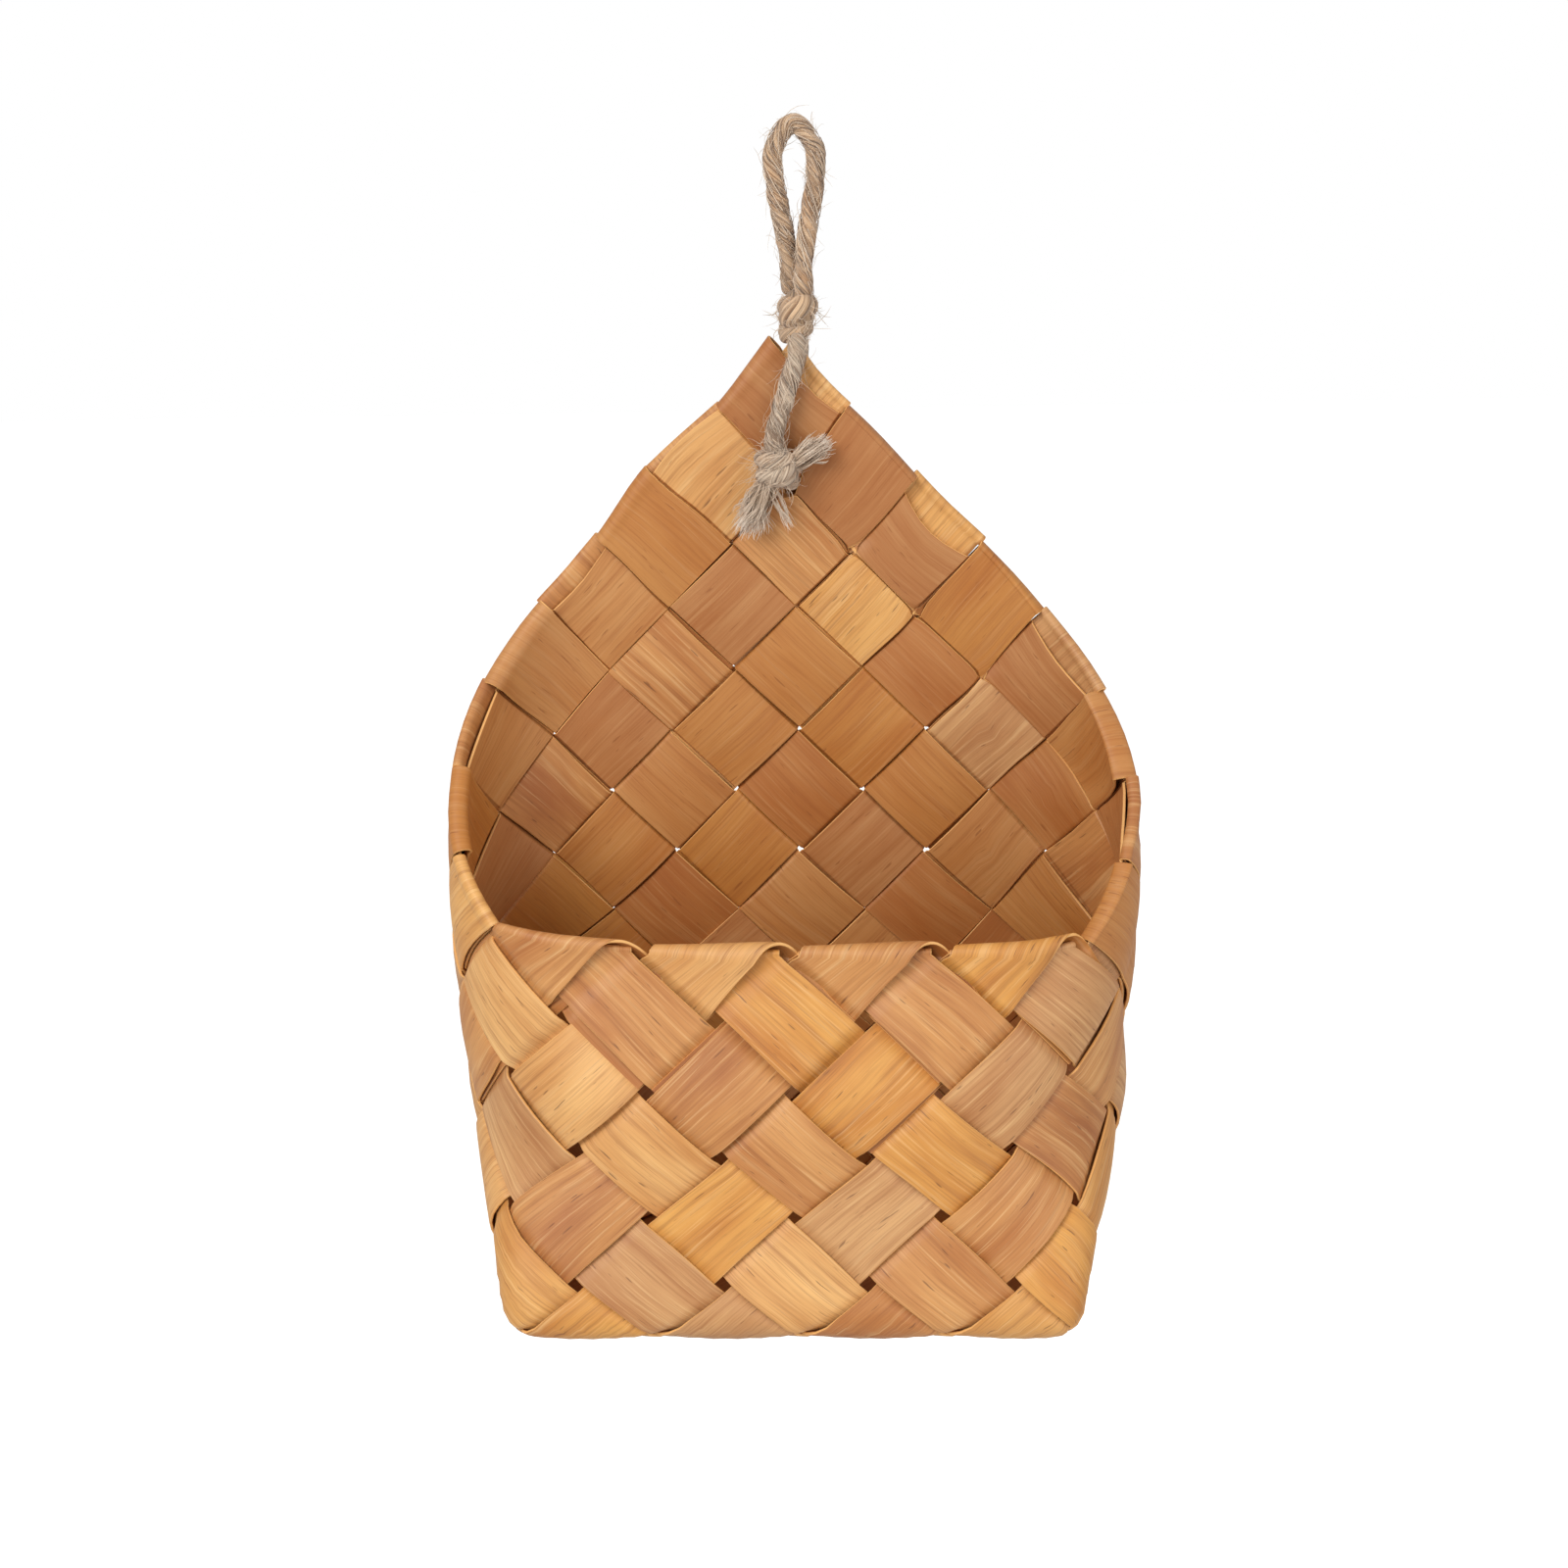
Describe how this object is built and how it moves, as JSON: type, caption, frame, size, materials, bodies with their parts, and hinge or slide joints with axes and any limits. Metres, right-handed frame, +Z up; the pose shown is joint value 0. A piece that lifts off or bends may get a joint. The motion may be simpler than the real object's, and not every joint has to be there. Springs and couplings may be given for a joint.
{
  "type": "wall basket",
  "caption": "Bias-plaited wood splint wall basket with a tall pointed back, a deep front pocket with a folded rim and a knotted jute hanging loop.",
  "frame": {"origin": "top of the bore of the hanging loop, where a nail in the wall bears", "axes": "+Z up along the hanging basket, +Y into the wall, the open front faces -Y"},
  "size_m": [0.1984, 0.1089, 0.3307],
  "materials": {
    "splint_golden": "shaved wood splint, semi-matte, fine long grain",
    "splint_tan": "shaved wood splint, semi-matte, fine long grain",
    "splint_straw": "shaved wood splint, semi-matte, fine long grain",
    "splint_brown": "shaved wood splint, semi-matte, fine long grain",
    "splint_honey": "shaved wood splint, semi-matte, fine long grain",
    "splint_rose": "shaved wood splint, semi-matte, fine long grain",
    "jute": "two-ply jute cord, matt and hairy"
  },
  "bodies": {
    "root": {"splint_01": "splint_tan", "splint_02": "splint_straw", "splint_03": "splint_brown", "splint_04": "splint_honey", "splint_05": "splint_rose", "splint_06": "splint_golden", "splint_07": "splint_tan", "splint_08": "splint_straw", "splint_09": "splint_brown", "splint_10": "splint_honey", "splint_11": "splint_rose", "splint_12": "splint_golden", "hanging_loop": "jute", "loop_knot": "jute", "front_strand": "jute", "back_strand": "jute", "lower_knot": "jute", "frayed_end_low": "jute", "frayed_end_high": "jute"}
  },
  "joints": []
}
